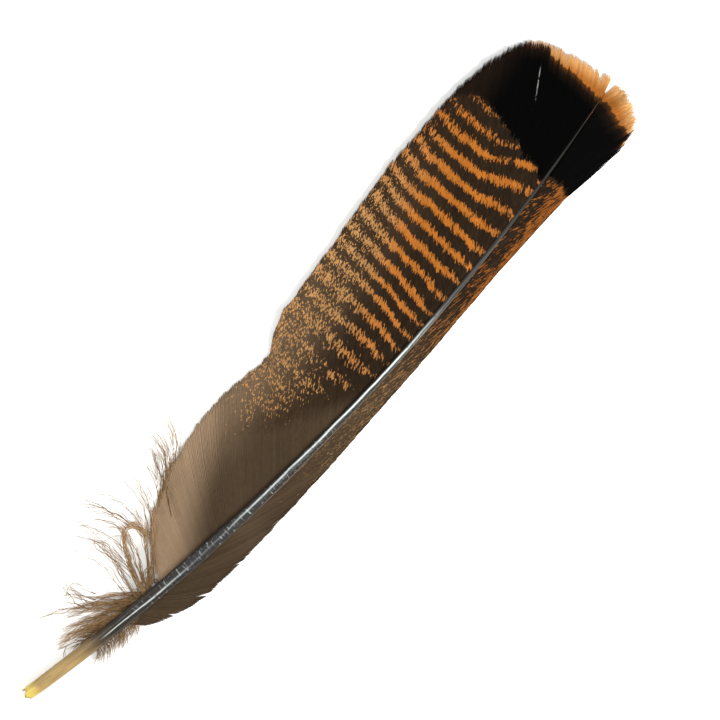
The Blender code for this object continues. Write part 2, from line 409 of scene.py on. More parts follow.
quill_paint, tree, shader = new_paint("horn_quill")
along = read_fact(tree, "along")
turn = read_fact(tree, "turn")
up_side = turn.math("SINE", turn)
wander = cloud(along * 0.08, up_side, 0.0, 3.0)
horn = ramp(along * (1.0 / RAMP_LENGTH) + 0.012 + (wander - 0.5) * 0.03, [
    (0.0, QUILL_YELLOW), (0.014, QUILL_YELLOW), (0.026, QUILL_STRAW), (0.064, QUILL_STRAW),
    (0.090, QUILL_OLIVE), (0.112, QUILL_UMBER), (0.135, QUILL_SLATE), (0.50, QUILL_SLATE),
    (0.62, QUILL_GREY), (0.76, QUILL_GREY), (0.84, QUILL_DARK), (0.93, QUILL_DARK), (0.975, QUILL_RUST)])
streaks = cloud(along * 0.12, turn * 3.2, 0.0, 3.0, 0.6)
horn = blend(streaks.step(0.35, 0.72) * 0.35, horn, STREAK_SHADOW, "MULTIPLY")
# Painted sheen: a lighter band along the shaft's flat shoulder on the narrow vane's side
shoulder_sheen = read_fact(tree, "across").step(0.74, 0.9) * along.step(45.0, 110.0) * along.step(262.0, 240.0)
horn = blend(shoulder_sheen * 0.75, horn, QUILL_SHOULDER_SHEEN)
flaky = along.step(66.0, 76.0) * along.step(124.0, 106.0)
horn = blend(flaky * 0.6, horn, FLAKE_SHADOW)
# Whitish flakes of old sheath on the shaft's top, partly painted glints where the broken highlight catches
# them
flake_and_glint_noise = cloud(along * 1.25, turn * 0.9, 0.0, 3.0, 0.7, 0.4)
flake_and_glint_area = along.step(44.0, 60.0) * along.step(172.0, 140.0) * up_side.step(0.3, 0.8)
flakes_and_glints = flake_and_glint_noise.step(0.57, 0.69) * flake_and_glint_area
horn = blend(flakes_and_glints * 0.7, horn, SHEATH_AND_GLINT_WHITE)
# A painted highlight: a broken bluish-white line down the shaft's back
line = (wander - 0.5) + read_fact(tree, "line")
line = line.math("ABSOLUTE", line)
highlight_breaks = cloud(along * 0.5, turn, 3.0, 3.0, 0.7)
painted_highlight = line.step(0.55, 0.08) * read_fact(tree, "shine") * highlight_breaks.step(0.2, 0.5)
horn = blend(painted_highlight * 0.8, horn, HIGHLIGHT_WHITE)
gloss = flakes_and_glints * 0.3 + 0.17 + streaks * 0.1 + along.step(34.0, 20.0) * 0.3
gloss = gloss + along.step(198.0, 228.0) * 0.7 + flaky * 0.2
finish_paint(shader, horn, gloss, 0.3, flakes_and_glints * 0.6 + streaks, 0.35, 0.00025)
build_quill(quill_paint)

# ------------------------------------------------------------------------------------------
# Wide vane, plain web.  Flattened barbs set side by side in the shaft's upper edge and hooked
# to each other, here from the down up to the first split.  Taupe at their outer ends and dark
# brown near the shaft; the lowest ones are loose and end in fine hairs.
# ------------------------------------------------------------------------------------------
# Each row: root along the shaft, edge along the shaft, edge out from the shaft
WIDE_EDGE = ((64.0, 66.0, 6.0), (66.0, 68.0, 13.0), (69.0, 73.0, 19.0), (74.0, 80.0, 25.5),
             (80.0, 91.0, 31.0), (87.0, 104.0, 35.5), (93.0, 116.0, 38.0), (101.0, 133.0, 39.5),
             (109.0, 148.0, 38.0),
             (115.0, 157.0, 37.2), (115.1, 163.5, 41.8), (122.0, 173.0, 45.0), (131.0, 190.0, 47.0),
             (141.0, 209.0, 48.3), (150.0, 228.0, 49.8), (160.0, 247.0, 50.9), (171.0, 262.0, 49.8),
             (190.0, 280.0, 48.7), (208.0, 294.0, 46.5), (224.0, 304.5, 43.5), (239.0, 312.5, 40.0),
             (253.0, 318.5, 35.5), (267.0, 321.6, 30.0), (280.0, 322.9, 23.0), (296.0, 323.8, 14.0),
             (307.0, 324.0, 7.5), (312.0, 324.4, 4.2), (316.4, 325.2, 1.2))
WIDE_SPLIT = 115.05
BARB_BEND = 0.25
WIDE_DROP = 26.0
WEB_LIFT = 0.32
BARB_TILT = 0.05
WIDEST_BARB = 0.46
wide_dice = np.random.default_rng(23)


def barb_roots(first, last, spacing, dice):
    """Roots along the shaft, a barb's width apart and a little uneven."""
    count = int((last - first) / spacing)
    roots = np.linspace(first, last, count)
    return roots + dice.normal(0.0, 0.12 * spacing, count)


def smooth_random(count, reach, dice):
    """Random values, one for each barb, that drift over about so many barbs."""
    raw = dice.normal(0.0, 1.0, count + 8 * reach)
    window = np.hanning(2 * reach + 3)
    drift = np.convolve(raw, window / np.sqrt((window ** 2).sum()), "same")
    return drift[4 * reach:4 * reach + count]


def barb_lines(roots, edge, side, drop, steps, bend, trim):
    """Each barb's line from root to tip: along, out, part, and length of the barb."""
    part = np.linspace(0.0, 1.0, steps) ** 0.92
    table = np.array(edge)
    end_along = np.interp(roots, table[:, 0], table[:, 1])
    end_out = np.interp(roots, table[:, 0], table[:, 2])
    start = read_off(HALF_WIDTH, roots) * 0.82
    length = np.hypot(end_along - roots, end_out - start)
    part = part[None, :] * (1.0 + trim / np.maximum(length, 1.0))[:, None]
    along = roots[:, None] + (end_along - roots)[:, None] * part
    curve = part + bend * part * (1.0 - part)
    out = start[:, None] + (end_out - start)[:, None] * curve
    reach = part * length[:, None]
    height = seat(along) * np.maximum(0.0, 1.0 - (out - start[:, None]) / drop) ** 1.4
    return along, out * side, part, reach, height


def clump(roots, sizes, strengths, dice):
    """Which bundle each barb is drawn into, as an offset to its middle, and how strongly."""
    offset = np.zeros(len(roots))
    pull = np.zeros(len(roots))
    at = 0
    while at < len(roots):
        size = int(dice.integers(sizes[0], sizes[1]))
        last = min(at + size, len(roots))
        middle = roots[at:last].mean()
        offset[at:last] = middle - roots[at:last]
        pull[at:last] = dice.uniform(*strengths)
        at = last
    return offset, pull


def across_barbs(x, y):
    """The level direction across each barb, for each point."""
    tx = np.gradient(x, axis=1)
    ty = np.gradient(y, axis=1)
    length = np.hypot(tx, ty)
    return -ty / length, tx / length


def comb(name, x, y, height, half_width, ridge, tilt, facts, material, nodes):
    """One closed flattened tube a barb: left edge, ridge, right edge and keel."""
    count, steps = x.shape
    nx, ny = across_barbs(x, y)
    left = np.stack([x + nx * half_width, y + ny * half_width, height + tilt], axis=-1)
    top = np.stack([x, y, height + ridge], axis=-1)
    right = np.stack([x - nx * half_width, y - ny * half_width, height - tilt], axis=-1)
    keel = np.stack([x, y, height - ridge * 0.6], axis=-1)
    points = np.stack([left, top, right, keel], axis=2).reshape(-1, 3)
    points[:, 2] = np.maximum(points[:, 2], LOWEST)
    base = (np.arange(count)[:, None] * steps + np.arange(steps - 1)[None, :])[:, :, None] * 4
    side = np.arange(4)[None, None, :]
    after = (side + 1) % 4
    faces = np.stack([base + side, base + after, base + 4 + after, base + 4 + side], axis=-1).reshape(-1, 4)
    first = np.arange(count)[:, None] * steps * 4
    start_caps = first + np.array([[3, 2, 1, 0]])
    end_caps = first + (steps - 1) * 4 + np.array([[0, 1, 2, 3]])
    faces = np.concatenate([faces, start_caps, end_caps])
    spread = {fact: np.repeat(values.reshape(-1), 4) for fact, values in facts.items()}
    return lay_flat_map(add_piece(name, points, faces.tolist(), spread, material, nodes))


def room_between(x, y):
    """Half the clear distance between neighbouring barbs, for each point."""
    nx, ny = across_barbs(x, y)
    dx = np.gradient(x, axis=0)
    dy = np.gradient(y, axis=0)
    return 0.5 * np.abs(dx * nx + dy * ny)


def draw_barbs(x, y, along, part, tip, roots, dice, bundles, fingers, splits, spread):
    """Barbs drawn into bundles, their ends into fingers, with gaps opened at the splits."""
    offset, pull = clump(roots, *bundles, dice)
    drawn = (offset * pull)[:, None] * part ** 5
    sizes, strengths, first, last, reach = fingers
    offset, pull = clump(roots, sizes, strengths, dice)
    drawn = drawn + (offset * pull * ease(roots, first, last))[:, None] * ease(tip, reach, 0.0) ** 1.5
    for root, depth, width in splits:
        near = np.sign(roots - root) * np.exp(-np.abs(roots - root) / spread)
        drawn = drawn + near[:, None] * ease(tip, depth, 0.0) * width
    _, _, dx, dy = shaft_line(along)
    return x + drawn * dx, y + drawn * dy


# Bars of the markings: where each crosses the shaft's edge and four distances further out
BAR_OUT = (4.0, 13.0, 21.0, 40.0, 48.0)
BARS = ((168.0, 167.0, 166.5, 168.0, 170.0), (177.5, 176.0, 177.5, 178.0, 179.0),
        (184.7, 186.4, 185.2, 185.5, 187.0), (192.0, 193.5, 194.0, 193.5, 194.5),
        (197.6, 200.0, 201.5, 201.8, 202.5), (204.3, 205.6, 207.1, 208.5, 209.5),
        (209.6, 211.8, 213.7, 215.0, 216.0), (217.6, 219.5, 220.4, 222.0, 224.0),
        (226.0, 226.6, 227.2, 230.0, 232.0), (233.2, 234.0, 234.6, 237.0, 239.5),
        (240.5, 241.5, 242.4, 242.8, 245.0), (248.9, 249.2, 249.7, 250.6, 253.0),
        (258.8, 257.4, 256.7, 258.0, 261.2), (270.8, 266.5, 264.1, 264.6, 267.0),
        (279.0, 276.8, 271.7, 272.1, 274.6), (287.0, 283.0, 278.6, 279.7, 282.2),
        (294.0, 290.0, 285.5, 287.7, 289.0))


def bar_count(along, out):
    """Which bar a place is on: a whole number at the middle of each bar."""
    lines = [np.interp(out, BAR_OUT, row) for row in BARS]
    count = 1.0 + (along - lines[0]) / 8.5
    for index in range(len(BARS) - 1):
        inside = (along >= lines[index]) & (along < lines[index + 1])
        part = (along - lines[index]) / (lines[index + 1] - lines[index])
        count = np.where(inside, index + 1.0 + part, count)
    beyond = along >= lines[-1]
    return np.where(beyond, len(BARS) + (along - lines[-1]) / 8.0, count)


def wide_facts(along, out, part, reach, roots, dice):
    """What each place on the wide vane looks like, as facts for the shader."""
    count = len(roots)
    speckle_from = np.interp(out, (4.0, 12.0, 18.0, 25.0, 35.0, 42.0),
                             (163.0, 152.0, 137.0, 126.0, 128.0, 133.0))
    marks = 0.45 * ease(along, speckle_from - 34.0, speckle_from - 4.0) + 0.55 * ease(
        along, speckle_from - 14.0, speckle_from + 18.0)
    marks = marks + 0.09 * ease(out, 18.0, 32.0) * ease(along, 292.0, 252.0) * ease(along, 140.0, 165.0)
    inner = np.interp(along, (160.0, 180.0, 205.0, 225.0, 250.0, 285.0),
                      (12.0, 18.0, 25.0, 32.0, 36.0, 38.0))
    clear = ease(out, inner + 9.0, inner - 6.0)
    clear = clear * (1.0 - 0.55 * ease(along, 266.0, 278.0) * ease(out, 10.0, 17.0))
    clear = clear * np.interp(along, (150.0, 165.0, 185.0, 205.0, 240.0), (0.05, 0.35, 0.7, 0.9, 1.0))
    marks = marks - 0.14 * ease(out, 9.0, 2.5)
    taupe_to = np.interp(out, (2.0, 10.0, 27.0, 36.0), (82.0, 92.0, 115.0, 127.0))
    taupe = ease(along, taupe_to + 8.0, taupe_to - 18.0)
    linger = 0.46 * ease(out, 14.0, 36.0) * ease(along, 225.0, 115.0)
    taupe = taupe + (1.0 - taupe) * linger
    band = along - np.interp(out, (1.0, 5.0, 8.0, 12.0, 16.0, 21.0, 26.0, 32.0, 39.0, 44.0, 48.0),
                             (279.5, 279.0, 280.0, 279.0, 283.0, 283.5, 286.0, 287.5, 288.8, 285.0, 280.0))
    tip_out = out[:, -1]
    rim_length = np.interp(tip_out, (0.5, 4.0, 11.0, 20.0, 25.5, 26.6, 27.2, 31.0, 35.0, 37.0),
                           (9.2, 9.0, 8.2, 6.0, 4.6, 4.0, 1.6, 1.3, 0.9, -1.5))
    rim_length = np.where(roots < 235.0, -3.0, rim_length)
    rim = reach - (reach[:, -1] - rim_length)[:, None]
    shade = 0.6 * smooth_random(count, 2, dice) + 0.5 * smooth_random(count, 14, dice)
    shade = shade * (0.45 + 0.55 * ease(roots, 100.0, 130.0))
    number = np.arange(count, dtype=float)
    spread = np.ones_like(along)
    swell = 0.5 * smooth_random(count, 22, dice)
    pale = np.exp(-((roots - 266.8) / 0.32) ** 2)[:, None] * ease(part, 0.60, 0.64) * ease(part, 0.83, 0.78)
    strong = clear + (1.0 - clear) * np.interp(along, (150.0, 185.0, 205.0, 235.0), (0.12, 0.34, 0.55, 0.62))
    slip = 3.6 * ease(roots, 273.2, 273.6)[:, None]
    marks = marks - 0.18 * np.exp(-((band + 3.5) / 4.0) ** 2) * ease(out, 9.0, 14.0)
    band = band + slip
    return {
        "pale": pale, "strong": strong,
        "bar": bar_count(along + slip, out) + 0.05 * swell[:, None], "clear": clear, "marks": marks,
        "taupe": taupe, "band": band, "rim": rim, "out": out, "reach": reach,
        "tip": reach[:, -1][:, None] - reach,
        "fine": np.maximum(ease(along, 180.0, 142.0),
                           0.9 * ease(out, 18.0, 36.0) * ease(along, 285.0, 225.0)),
        "deep": 1.0 - 0.85 * (1.0 - clear) * ease(along, 285.0, 215.0),
        "shade": shade[:, None] * spread, "barb": number[:, None] * spread,
    }


WIDE_BARB_SPACING = 0.40
wide_roots = np.sort(barb_roots(64.0, 316.4, WIDE_BARB_SPACING, wide_dice))
wide_count = len(wide_roots)
ragged = 0.35 * smooth_random(wide_count, 1, wide_dice) + 0.35 * smooth_random(wide_count, 7, wide_dice)
along_line, out_line, part_line, reach_line, height_line = barb_lines(
    wide_roots, WIDE_EDGE, 1.0, WIDE_DROP, 30, BARB_BEND,
    ragged - 0.9 - 0.45 * ease(wide_roots, 120.0, 135.0) * ease(wide_roots, 262.0, 245.0))
wide = wide_facts(along_line, out_line, part_line, reach_line, wide_roots, wide_dice)
x_line, y_line = lay_out(along_line, out_line)
width_line = np.minimum(room_between(x_line, y_line) * 1.4, WIDEST_BARB)
near_tip = ease(wide["tip"], 0.0, 2.2)
width_line = width_line * (0.35 + 0.65 * near_tip)
at_tip = ease(wide_roots, 240.0, 262.0)[:, None]
width_line = width_line * (1.0 - at_tip * 0.3 * ease(wide["tip"], 5.0, 0.5))

# Bundles and splits: the outer ends draw together and leave narrow gaps
WIDE_SPLITS = ((297.0, 3.4, 0.5), (306.0, 3.8, 0.5), (310.5, 5.6, 0.7), (268.5, 3.4, 0.4), (272.0, 3.0, 0.35),
               (287.5, 2.2, 0.25))
x_line, y_line = draw_barbs(
    x_line, y_line, along_line, part_line, wide["tip"], wide_roots, wide_dice,
    ((5, 34), (0.0, 0.035)), ((3, 11), (0.05, 0.4), 246.0, 262.0, 4.5), WIDE_SPLITS, 3.0)

# The barred web lies over the plain one where they have parted
over = ease(wide_roots, WIDE_SPLIT, WIDE_SPLIT + 0.05) * ease(wide_roots, WIDE_SPLIT + 14.0, WIDE_SPLIT)
ripple = 0.10 * smooth_random(wide_count, 9, wide_dice)
height_line = height_line + WEB_LIFT + over[:, None] * ease(part_line, 0.6, 1.0) * 0.55
rise = 0.5 + 1.3 * ease(wide_roots, 112.0, 122.0) * ease(wide_roots, 262.0, 225.0)
height_line = height_line + ripple[:, None] * part_line + rise[:, None] * ease(part_line, 0.7, 1.02)

WEB_DARK = paint(30, 21, 13)
WEB_DARK_OUTER = paint(58, 44, 30)
WEB_TAUPE = paint(135, 113, 90)
WEB_PLAIN = paint(68, 55, 41)
WEB_UMBER = paint(44, 33, 22)
BAR_DEEP = paint(158, 94, 34)
BAR_PALE = paint(158, 120, 76)
FLECK_FAINT = paint(122, 96, 66)
BAND_BLACK = paint(1, 1, 1)
SCUFF_GREY = paint(150, 148, 144)
BAND_BROWN = paint(26, 17, 10)
RIM_BROWN = paint(72, 42, 18)
RIM_DEEP = paint(150, 90, 36)
RIM_PALE = paint(198, 150, 94)


def web_paint(name, fleck_long, fleck_wide, bar_deep, bar_pale):
    """The barbs' finish, read from the facts laid on each piece of web."""
    material, tree, shader = new_paint(name)
    barb, reach, out, clear, fine, marks = (
        read_fact(tree, fact) for fact in ("barb", "reach", "out", "clear", "fine", "marks"))

    def web_cloud(wide, long, third, detail, roughness=0.5):
        return cloud(barb * wide, reach * long, third, detail, roughness)

    fleck = web_cloud(fleck_wide, fleck_long, 0.0, 2.0, 0.55)
    fleck = fleck * (1.0 - fine) + web_cloud(0.6, 0.68, 7.0, 1.0) * fine
    jag = (web_cloud(0.55, 0.16, 3.0, 2.0, 0.7) - 0.5) * 0.85
    stripe = (read_fact(tree, "bar") + jag) * (2.0 * math.pi)
    stripe = stripe.math("COSINE", stripe)
    value = stripe * read_fact(tree, "strong") + (fleck - 0.5) * (clear * -3.9 + 6.0)
    value = value + (web_cloud(0.075, 0.13, 11.0, 2.0) - 0.5) * 1.6 + marks * 2.4 - 2.88
    barred = value.step(-0.16, 0.16)

    marked = marks.step(0.35, 0.78)
    dark = blend(marked, WEB_PLAIN, blend(fine, WEB_DARK, WEB_DARK_OUTER))
    mottle = web_cloud(0.35, 0.3, 9.0, 3.0, 0.6).step(0.3, 0.75) * (marked * 0.75 + 0.25)
    dark = blend(mottle, dark, WEB_UMBER)
    ground = blend(read_fact(tree, "taupe"), dark, WEB_TAUPE)
    bar_colour = blend(read_fact(tree, "deep"), bar_pale, bar_deep)
    bar_colour = blend(marks.step(0.45, 1.0), FLECK_FAINT, bar_colour)
    colour = blend(barred, ground, bar_colour)

    in_band = (read_fact(tree, "band") + (fleck - 0.5) * 9.0).step(-0.5, 0.6)
    ragged_rim = jag * 1.6 + read_fact(tree, "rim")
    band_colour = blend(ragged_rim.step(-7.5, 0.5), BAND_BLACK, BAND_BROWN)
    band_colour = blend(out.step(30.0, 47.0), band_colour, BAND_BROWN)
    band_colour = blend(ragged_rim.step(-2.6, 0.3), band_colour, RIM_BROWN)
    colour = blend(in_band, colour, band_colour)
    rim_colour = blend(read_fact(tree, "tip").step(7.0, 0.4), RIM_DEEP, RIM_PALE)
    colour = blend(ragged_rim.step(-0.3, 0.5), colour, rim_colour)

    colour = blend(read_fact(tree, "pale") * fleck.step(0.35, 0.6), colour, SCUFF_GREY)
    fibre = web_cloud(0.9, 0.5, 5.0, 2.0, 0.7)
    tone = read_fact(tree, "shade") * 0.10 + 1.0 + (fibre - 0.5) * (marks * 0.5 + 0.35)
    colour = blend(1.0, colour, join(tone, tone, tone), "MULTIPLY")
    barbules = web_cloud(2.0, 6.0, 1.0, 1.0)
    finish_paint(shader, colour, fibre * 0.25 + 0.48, 0.02, barbules, 0.25, 0.00008)
    return material


wide_web_paint = web_paint("wide_web", 0.42, 0.30, BAR_DEEP, BAR_PALE)


def part_of_web(name, chosen):
    """One run of the wide vane's barbs as a piece."""
    facts = {fact: values[chosen] for fact, values in wide.items()}
    comb(name, x_line[chosen], y_line[chosen], height_line[chosen], width_line[chosen],
         0.10, BARB_TILT, facts, wide_web_paint, ["wide_vane"])


part_of_web("wide_vane_plain_web", wide_roots < WIDE_SPLIT)

# ------------------------------------------------------------------------------------------
# Wide vane, barred web.  The same barbs above the split, hooked together in one sheet that
# lies over the plain web's last barbs.  Dark brown crossed by orange bars that break up into
# speckles toward the outer edge.
# ------------------------------------------------------------------------------------------
BARRED_TO = 208.0
part_of_web("wide_vane_barred_web", (wide_roots >= WIDE_SPLIT) & (wide_roots < BARRED_TO))

# ------------------------------------------------------------------------------------------
# Wide vane, tip web.  The last barbs run forward almost in line with the shaft.  They carry
# the black band, and end in a worn cinnamon fringe with small splits.
# ------------------------------------------------------------------------------------------
part_of_web("wide_vane_tip_web", wide_roots >= BARRED_TO)

# ------------------------------------------------------------------------------------------
# Narrow vane.  Short stiff barbs on the other side of the shaft, lying at a very small angle
# to it.  Plain brown low down, then orange finely flecked with black, then the black band and
# the fringe.  Its lowest barbs have come apart into small hooks.
# ------------------------------------------------------------------------------------------
NARROW_EDGE = ((45.0, 47.0, 4.6), (46.5, 50.0, 7.8), (49.0, 55.0, 10.2), (53.0, 63.0, 12.2),
               (58.5, 75.0, 13.5), (66.0, 92.0, 12.7), (78.0, 112.0, 11.2), (97.0, 133.0, 9.9),
                (135.0, 171.0, 8.1),
               (180.0, 216.0, 7.6), (204.0, 240.0, 8.0), (228.0, 262.0, 9.6), (244.0, 277.0, 11.2),
               (253.0, 289.0, 14.2), (266.0, 303.0, 17.3), (279.0, 311.5, 17.4), (290.0, 316.5, 15.0),
               (302.0, 319.6, 10.2), (310.0, 321.6, 6.4), (316.4, 322.0, 1.8))
NARROW_DROP = 11.0
NARROW_BARB_SPACING = 0.52
NARROW_WIDEST_BARB = 0.36
narrow_dice = np.random.default_rng(37)
narrow_roots = np.sort(barb_roots(45.0, 316.4, NARROW_BARB_SPACING, narrow_dice))
narrow_count = len(narrow_roots)
ragged = 0.3 * smooth_random(narrow_count, 1, narrow_dice) + 0.3 * smooth_random(narrow_count, 6, narrow_dice)
n_along, n_out, n_part, n_reach, n_height = barb_lines(
    narrow_roots, NARROW_EDGE, -1.0, NARROW_DROP, 26, 0.3,
    ragged - 0.4 + 0.8 * ease(narrow_roots, 270.0, 282.0))
n_x, n_y = lay_out(n_along, n_out)
n_width = np.minimum(room_between(n_x, n_y) * 1.3 + 0.02, NARROW_WIDEST_BARB)
n_tip = n_reach[:, -1][:, None] - n_reach
n_width = n_width * (0.35 + 0.65 * ease(n_tip, 0.0, 2.0))
NARROW_SPLITS = ((58.5, 7.0, 0.9), (66.5, 8.0, 0.8), (52.5, 5.0, 0.7), (303.0, 3.4, 0.45), (306.5, 3.2, 0.45),
                 (309.5, 3.4, 0.4), (312.0, 3.0, 0.4), (296.0, 2.4, 0.3), (285.0, 1.6, 0.2))
n_x, n_y = draw_barbs(
    n_x, n_y, n_along, n_part, n_tip, narrow_roots, narrow_dice,
    ((5, 22), (0.0, 0.12)), ((3, 6), (0.35, 0.75), 268.0, 282.0, 5.0), NARROW_SPLITS, 2.2)
n_height = n_height + WEB_LIFT + 0.35 * ease(n_part, 0.8, 1.05)
n_height = n_height + 0.08 * smooth_random(narrow_count, 8, narrow_dice)[:, None] * n_part

n_depth = -n_out
n_marks = np.interp(n_along, (85.0, 115.0, 150.0, 185.0, 215.0, 240.0, 277.0),
                    (0.0, 0.7, 1.0, 1.03, 0.98, 0.96, 1.0))
n_marks = n_marks + 0.34 * ease(n_depth, 5.0, 7.2) * ease(n_along, 190.0, 225.0)
n_band = n_along - np.interp(n_depth, (0.5, 6.0, 11.0, 15.0), (279.5, 280.0, 277.0, 277.0))
n_tip_out = n_depth[:, -1]
n_rim_length = np.interp(n_tip_out, (1.5, 5.0, 8.6, 12.0, 15.0, 17.0, 17.4),
                         (8.0, 8.2, 8.4, 8.2, 6.4, 3.6, 1.0))
n_rim_length = np.where(narrow_roots < 270.0, -1.5, n_rim_length)
n_rim = n_reach - (n_reach[:, -1] - n_rim_length)[:, None]
n_shade = 0.7 * smooth_random(narrow_count, 2, narrow_dice)
n_shade = n_shade + 0.5 * smooth_random(narrow_count, 10, narrow_dice)
n_shade = n_shade - 1.9 * ease(narrow_roots, 110.0, 80.0) - 1.2 * ease(narrow_roots, 215.0, 250.0)
ones = np.ones_like(n_along)
narrow = {
    "bar": 0.25 * ones, "clear": 0.0 * ones, "marks": n_marks,
    "taupe": 0.10 * ease(n_along, 225.0, 165.0) * ease(n_along, 85.0, 110.0),
    "band": n_band, "rim": n_rim, "out": n_depth, "reach": n_reach, "tip": n_tip,
    "shade": n_shade[:, None] * ones, "barb": np.arange(narrow_count, dtype=float)[:, None] * ones,
    "fine": 0.55 * ease(n_along, 222.0, 150.0), "deep": ease(n_along, 165.0, 235.0),
    "pale": 0.0 * ones, "strong": 0.0 * ones,
}
NARROW_DEEP = paint(128, 74, 28)
NARROW_PALE = paint(128, 98, 62)
narrow_web_paint = web_paint("narrow_web", 0.30, 0.34, NARROW_DEEP, NARROW_PALE)
comb("narrow_vane", n_x, n_y, n_height, n_width, 0.09, BARB_TILT, narrow, narrow_web_paint,
     ["narrow_vane"])

# ------------------------------------------------------------------------------------------
# Upper down tuft.  Long soft barbs with no hooks, rooted in the shaft just below the plain
# web.  They hang together in wispy locks; one broad lock has folded back on itself.
# ------------------------------------------------------------------------------------------
LOCK_STEPS = 44
BARBULES_PER_MM = 1.2
BARBULE_RADIUS = 0.016
DOWN_LOWEST = 0.03           # no down lies lower above the card
# A family of locks: how many locks, how many strands in each, how wide they spread in the
# middle and at the end, how thick a strand is, its tone, where the first and last lock start
# along and out from the shaft, the heading they start on, and the runs that follow.  A
# heading is in degrees from straight out, growing toward the quill end; a run is a length
# and how far the lock turns along it.
UPPER_LOCKS = (
    (3, 5, 0.9, 1.8, 0.045, 0.6, (52.0, 55.0), (2.0, 2.0), 5.0, ((18.0, -12.0), (12.0, 30.0), (13.0, 15.0))),
    (2, 1, 0.1, 0.3, 0.045, 0.6, (56.0, 59.0), (10.0, 12.0), 5.0,
     ((16.0, 15.0), (6.0, -100.0), (6.0, -50.0), (7.0, -50.0))),
    (3, 2, 0.4, 1.0, 0.045, 0.6, (56.0, 59.0), (6.0, 8.0), -20.0, ((12.0, 20.0), (12.0, 18.0), (12.0, 25.0))),
    (1, 17, 0.95, 0.9, 0.06, 1.0, (57.0, 57.0), (2.0, 2.0), -5.0,
     ((20.0, -18.0), (7.0, -30.0), (6.0, -110.0), (12.0, -18.0), (14.0, -22.0))),
    (1, 3, 0.2, 0.4, 0.06, 0.6, (59.0, 59.0), (2.0, 2.0), -8.0, ((14.0, -6.0), (11.0, -18.0))),
    (2, 3, 0.35, 1.5, 0.042, 0.6, (69.0, 70.0), (26.0, 27.0), 0.0, ((9.0, 24.0), (12.0, 20.0))),
    (5, 3, 0.6, 1.4, 0.043, 0.6, (56.0, 62.0), (2.0, 4.0), -38.0,
     ((16.0, 8.0), (13.0, 26.0), (14.0, 45.0), (8.0, 8.0))),
    (5, 3, 0.7, 1.0, 0.043, 0.6, (57.0, 63.0), (2.0, 4.0), -44.0, ((18.0, 6.0), (14.0, 14.0), (14.0, 30.0))),
    (3, 3, 0.4, 0.4, 0.05, 0.6, (54.0, 61.0), (3.0, 6.0), 10.0, ((4.0, -90.0), (4.0, -80.0), (6.0, -60.0))),
    (8, 2, 0.5, 1.1, 0.04, 0.65, (79.0, 100.0), (22.0, 33.5), -44.0, ((9.0, 12.0), (8.0, 22.0), (5.0, 8.0))),
    (6, 3, 0.8, 1.5, 0.042, 0.7, (84.0, 104.0), (25.0, 34.5), -50.0,
     ((9.0, 10.0), (8.0, 12.0), (5.0, -15.0))),
    (7, 1, 0.3, 0.7, 0.042, 0.3, (70.0, 98.0), (17.0, 33.0), -40.0,
     ((12.0, 18.0), (10.0, 22.0), (9.0, 14.0))),
    (4, 1, 0.1, 0.2, 0.038, 0.3, (58.0, 68.0), (12.0, 22.0), -10.0,
     ((12.0, 20.0), (12.0, 22.0), (8.0, 10.0))),
    (1, 3, 0.25, 0.5, 0.06, 0.15, (84.0, 84.0), (18.0, 18.0), -38.0,
     ((10.0, 6.0), (9.0, 10.0), (9.0, -12.0))),
)


def fringe_locks(dice, first, last, count, side, reach, sweep, start_out):
    """Single short hairs rooted along one side of the shaft and swept toward the quill end."""
    locks = []
    for _ in range(count):
        root = dice.uniform(first, last)
        long = dice.uniform(0.55, 1.0) * reach
        lean = math.radians(dice.uniform(*sweep))
        bend = math.radians(dice.uniform(15.0, 60.0))
        along, out, guide = root, start_out, []
        for step in range(6):
            x, y = lay_out(along, side * out)
            guide.append((float(x), float(y)))
            turn = lean + bend * step / 5.0
            along -= math.sin(turn) * long / 5.0
            out += math.cos(turn) * long / 5.0
        locks.append((1, 0.1, 0.3, dice.uniform(0.035, 0.055), 0.45, tuple(guide)))
    return tuple(locks)


def grow_locks(dice, families):
    """The locks of each family, spaced out evenly and each a little different."""
    locks = []
    for count, strands, spread, fray, thickness, tone, starts, outs, heading, runs in families:
        for number in range(count):
            share = (number + 0.5) / count
            along = starts[0] + (starts[1] - starts[0]) * share
            out = outs[0] + (outs[1] - outs[0]) * share
            turn = math.radians(heading + dice.uniform(-7.0, 7.0))
            size = dice.uniform(0.85, 1.1)
            guide = [tuple(float(value) for value in lay_out(along, out))]
            for run, bend in runs:
                bend = math.radians(bend * dice.uniform(0.75, 1.25))
                for _ in range(4):
                    turn += bend / 4.0
                    along -= math.sin(turn) * run * size / 4.0
                    out += math.cos(turn) * run * size / 4.0
                    guide.append(tuple(float(value) for value in lay_out(along, out)))
            locks.append((strands, spread, fray, thickness, tone, tuple(guide)))
    return tuple(locks)


def lock_line(guide, steps):
    """A smooth line through a lock's guide points."""
    guide = np.array(guide, dtype=float)
    knots = np.concatenate([[0.0], np.cumsum(np.hypot(*np.diff(guide, axis=0).T))])
    where = np.linspace(0.0, knots[-1], steps)
    before = np.concatenate([[2.0 * guide[0] - guide[1]], guide, [2.0 * guide[-1] - guide[-2]]])
    segment = np.clip(np.searchsorted(knots, where, side="right") - 1, 0, len(guide) - 2)
    part = ((where - knots[segment]) / (knots[segment + 1] - knots[segment]))[:, None]
    p0, p1, p2, p3 = before[segment], before[segment + 1], before[segment + 2], before[segment + 3]
    line = 0.5 * (2.0 * p1 + (p2 - p0) * part + (2.0 * p0 - 5.0 * p1 + 4.0 * p2 - p3) * part ** 2
                  + (3.0 * p1 - p0 - 3.0 * p2 + p3) * part ** 3)
    return line, knots[-1]


